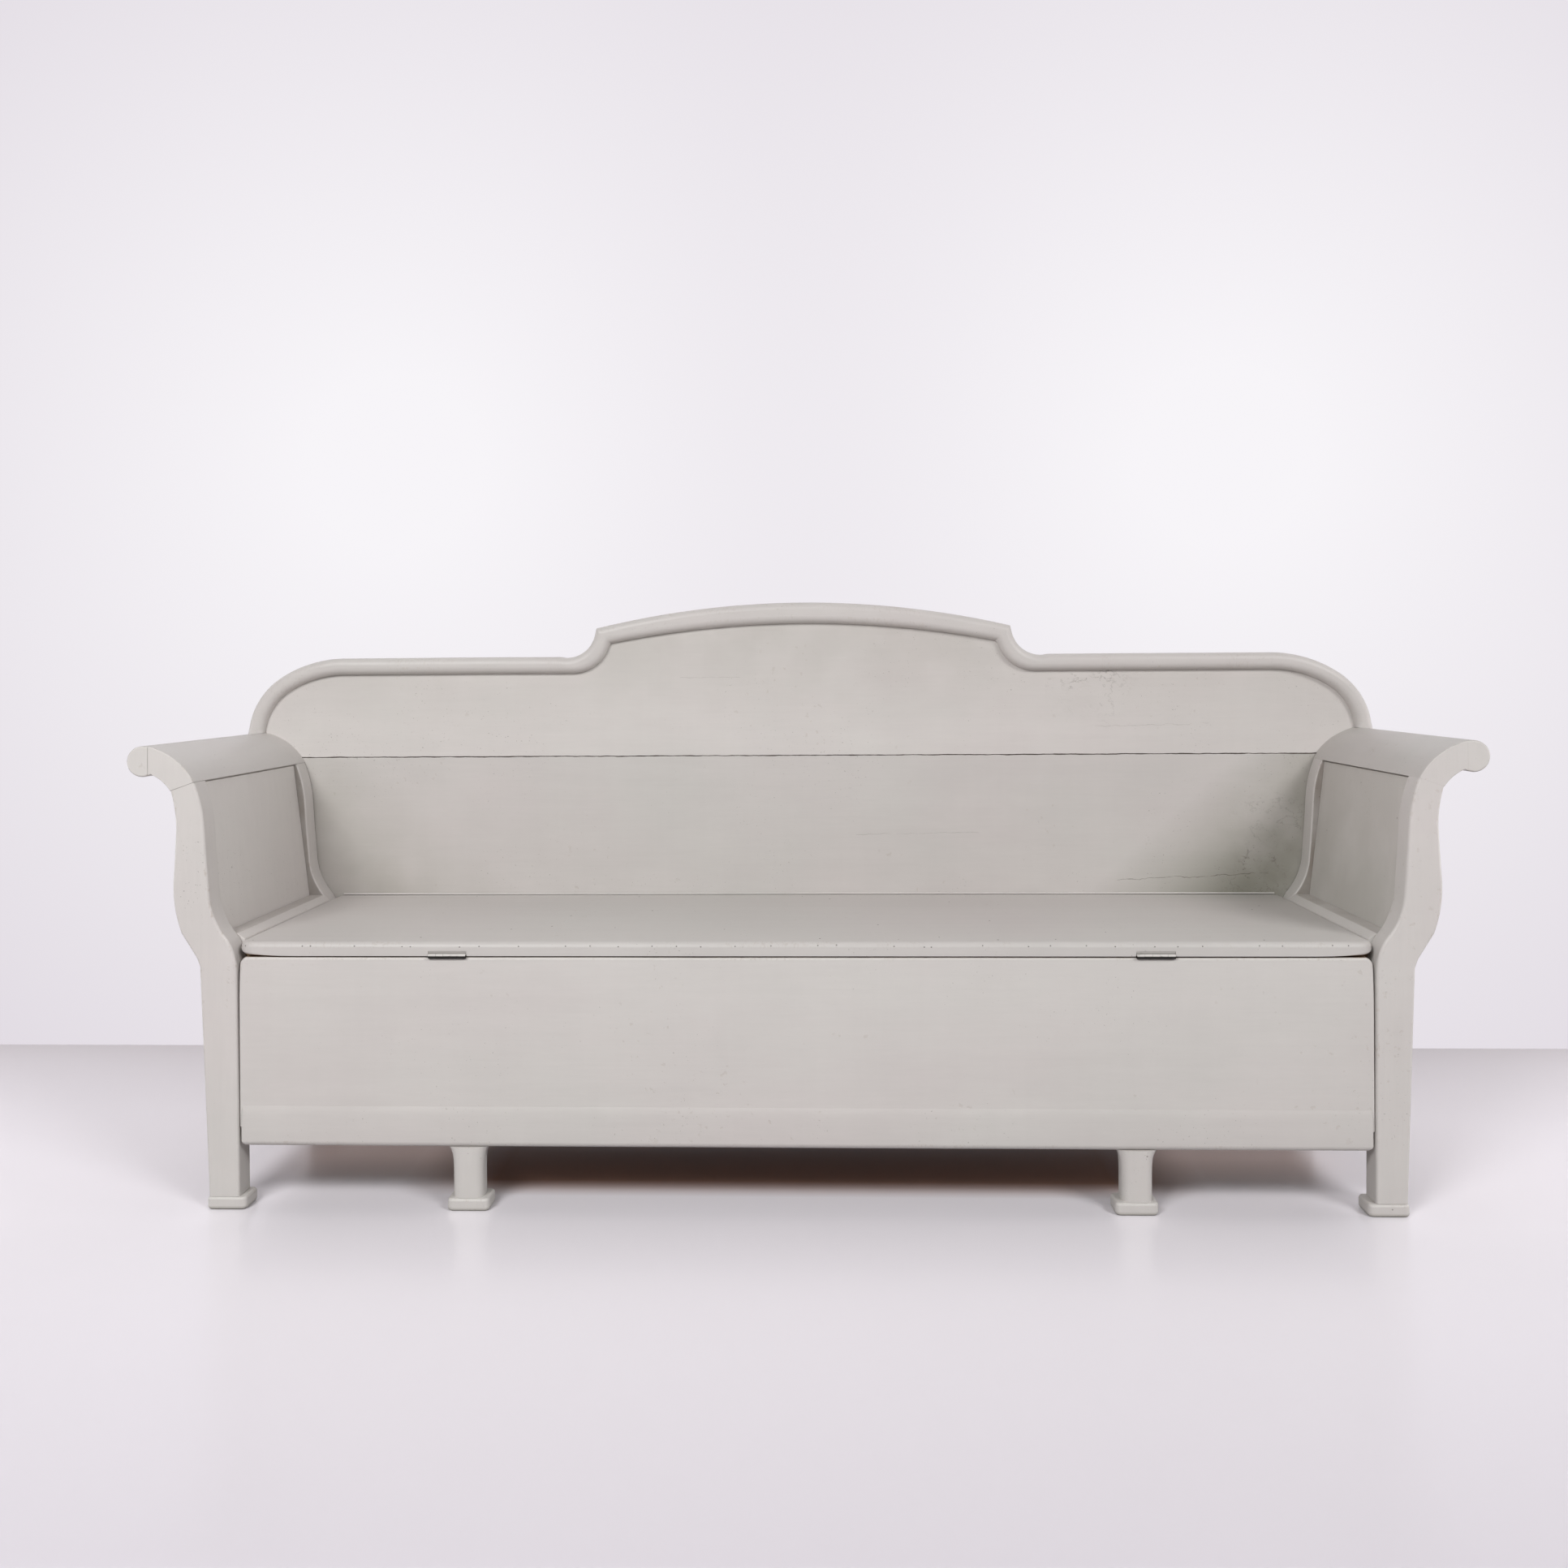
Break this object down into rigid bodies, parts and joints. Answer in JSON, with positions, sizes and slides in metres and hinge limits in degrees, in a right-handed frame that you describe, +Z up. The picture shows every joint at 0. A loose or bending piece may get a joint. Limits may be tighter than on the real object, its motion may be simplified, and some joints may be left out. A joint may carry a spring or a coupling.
{
  "type": "pull-out bench bed",
  "caption": "Painted pine bench bed with scrolled arms and an arched, beaded back; the front slides out on interleaved slats and the seat lid is hinged at its front edge.",
  "frame": {"origin": "on the floor under the middle of the bench's bounding box, pushed in and shut", "axes": "+X along the bench to the right as seen from the front, +Y to the back, +Z up"},
  "size_m": [2.17, 0.517, 0.9939],
  "materials": {
    "painted_wood": "aged satin oil paint in warm light grey, worn at the edges",
    "bare_pine": "bare aged pine, planed",
    "hinge_iron": "dark aged iron"
  },
  "bodies": {
    "frame": {"arm_panel_left": "painted_wood", "arm_panel_right": "painted_wood", "arm_rail_left": "painted_wood", "arm_rail_right": "painted_wood", "arm_roll_left": "painted_wood", "arm_roll_right": "painted_wood", "arm_scroll_left": "painted_wood", "arm_scroll_right": "painted_wood", "back_batten_left": "bare_pine", "back_batten_right": "bare_pine", "back_board_base": "painted_wood", "back_board_middle": "painted_wood", "back_board_upper": "painted_wood", "crest_bead_arch": "painted_wood", "crest_bead_left": "painted_wood", "crest_bead_right": "painted_wood", "fixed_slats": "bare_pine", "front_foot_left": "painted_wood", "front_foot_right": "painted_wood", "front_post_left": "painted_wood", "front_post_right": "painted_wood", "front_stretcher": "bare_pine", "lid_ledge_left": "bare_pine", "lid_ledge_rear": "bare_pine", "lid_ledge_right": "bare_pine", "rear_post_left": "painted_wood", "rear_post_right": "painted_wood", "side_board_left": "painted_wood", "side_board_right": "painted_wood", "side_sill_left": "bare_pine", "side_sill_right": "bare_pine", "slat_bearer": "bare_pine"},
    "pull_out": {"front_board": "painted_wood", "front_rail": "painted_wood", "middle_leg_left": "painted_wood", "middle_foot_left": "painted_wood", "middle_leg_right": "painted_wood", "middle_foot_right": "painted_wood", "drawer_side_left": "bare_pine", "drawer_side_right": "bare_pine", "moving_slats": "bare_pine", "slat_crossbar": "bare_pine", "hinge_leaves_lower": "hinge_iron", "hinge_pins": "hinge_iron", "hinge_screws_lower": "hinge_iron"},
    "lid": {"seat_board": "painted_wood", "lid_batten_left": "bare_pine", "lid_batten_right": "bare_pine", "hinge_leaves_upper": "hinge_iron", "hinge_screws_upper": "hinge_iron"}
  },
  "joints": [
    {"name": "pull_out_slide", "type": "slide", "parent": "frame", "child": "pull_out", "axis": [0, -1, 0], "range_m": [0, 0.35]},
    {"name": "lid_hinge", "type": "hinge", "parent": "pull_out", "child": "lid", "pos_m": [0, -0.2535, 0.408], "axis": [1, 0, 0], "range_deg": [0, 180]}
  ]
}
